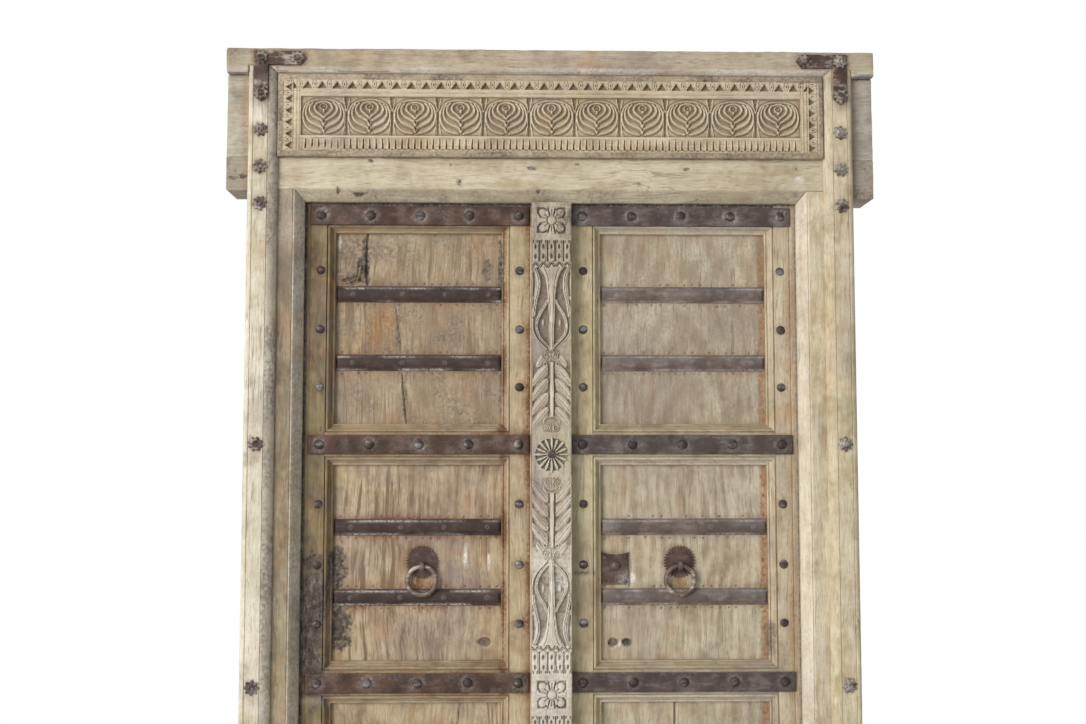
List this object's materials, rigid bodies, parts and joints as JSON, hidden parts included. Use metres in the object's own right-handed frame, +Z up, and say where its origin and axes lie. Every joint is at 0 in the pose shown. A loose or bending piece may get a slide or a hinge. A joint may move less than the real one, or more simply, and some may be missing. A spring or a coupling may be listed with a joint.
{
  "type": "carved double door with frame",
  "caption": "Weathered carved hardwood double door in its frame, with frieze, carved centre bar, iron straps, studs and ring pulls.",
  "frame": {"origin": "on the floor, under the middle of the threshold", "axes": "X to the right as seen from outside, Y from the carved front to the back, Z up"},
  "size_m": [1.336, 0.128, 2.352],
  "materials": {
    "frame_wood": "bleached and worn, bare hardwood",
    "leaf_wood": "worn bare hardwood, stained by rust",
    "carved_wood": "carved, bleached and worn",
    "dark_iron": "forged, brown with old rust"
  },
  "bodies": {
    "frame": {"frame_rosettes": "dark_iron", "frieze_board": "carved_wood", "head_rail": "frame_wood", "left_corner_iron": "dark_iron", "left_facing": "frame_wood", "left_jamb": "frame_wood", "lintel_beam": "frame_wood", "right_corner_iron": "dark_iron", "right_facing": "frame_wood", "right_jamb": "frame_wood", "soffit_beam": "frame_wood", "threshold": "frame_wood"},
    "left_leaf": {"left_bottom_rail": "leaf_wood", "left_hanging_stile": "leaf_wood", "left_lower_rail": "leaf_wood", "left_meeting_stile": "leaf_wood", "left_middle_rail": "leaf_wood", "left_panel_1": "leaf_wood", "left_panel_2": "leaf_wood", "left_panel_3": "leaf_wood", "left_panel_4": "leaf_wood", "left_panel_straps": "dark_iron", "left_pull_plate": "dark_iron", "left_pull_staple": "dark_iron", "left_rail_strap_1": "dark_iron", "left_rail_strap_2": "dark_iron", "left_rail_strap_3": "dark_iron", "left_rail_strap_4": "dark_iron", "left_rail_strap_5": "dark_iron", "left_stile_studs": "dark_iron", "left_strap_nails": "dark_iron", "left_top_rail": "leaf_wood", "left_upper_rail": "leaf_wood"},
    "right_leaf": {"centre_bar": "carved_wood", "lock_plate": "dark_iron", "right_bottom_rail": "leaf_wood", "right_hanging_stile": "leaf_wood", "right_lower_rail": "leaf_wood", "right_meeting_stile": "leaf_wood", "right_middle_rail": "leaf_wood", "right_panel_1": "leaf_wood", "right_panel_2": "leaf_wood", "right_panel_3": "leaf_wood", "right_panel_4": "leaf_wood", "right_panel_straps": "dark_iron", "right_pull_plate": "dark_iron", "right_pull_staple": "dark_iron", "right_rail_strap_1": "dark_iron", "right_rail_strap_2": "dark_iron", "right_rail_strap_3": "dark_iron", "right_rail_strap_4": "dark_iron", "right_rail_strap_5": "dark_iron", "right_stile_studs": "dark_iron", "right_strap_nails": "dark_iron", "right_top_rail": "leaf_wood", "right_upper_rail": "leaf_wood"},
    "left_ring": {"left_pull_ring": "dark_iron"},
    "right_ring": {"right_pull_ring": "dark_iron"}
  },
  "joints": [
    {"name": "left_leaf_swing", "type": "hinge", "parent": "frame", "child": "left_leaf", "pos_m": [-0.508, 0.015, 1], "axis": [0, 0, 1], "range_deg": [0, 90]},
    {"name": "right_leaf_swing", "type": "hinge", "parent": "frame", "child": "right_leaf", "pos_m": [0.508, 0.015, 1], "axis": [0, 0, -1], "range_deg": [0, 90]},
    {"name": "left_ring_swing", "type": "hinge", "parent": "left_leaf", "child": "left_ring", "pos_m": [-0.265, 0.004, 1.2905], "axis": [-1, 0, 0], "range_deg": [0, 170]},
    {"name": "right_ring_swing", "type": "hinge", "parent": "right_leaf", "child": "right_ring", "pos_m": [0.265, 0.004, 1.2905], "axis": [-1, 0, 0], "range_deg": [0, 170]}
  ]
}
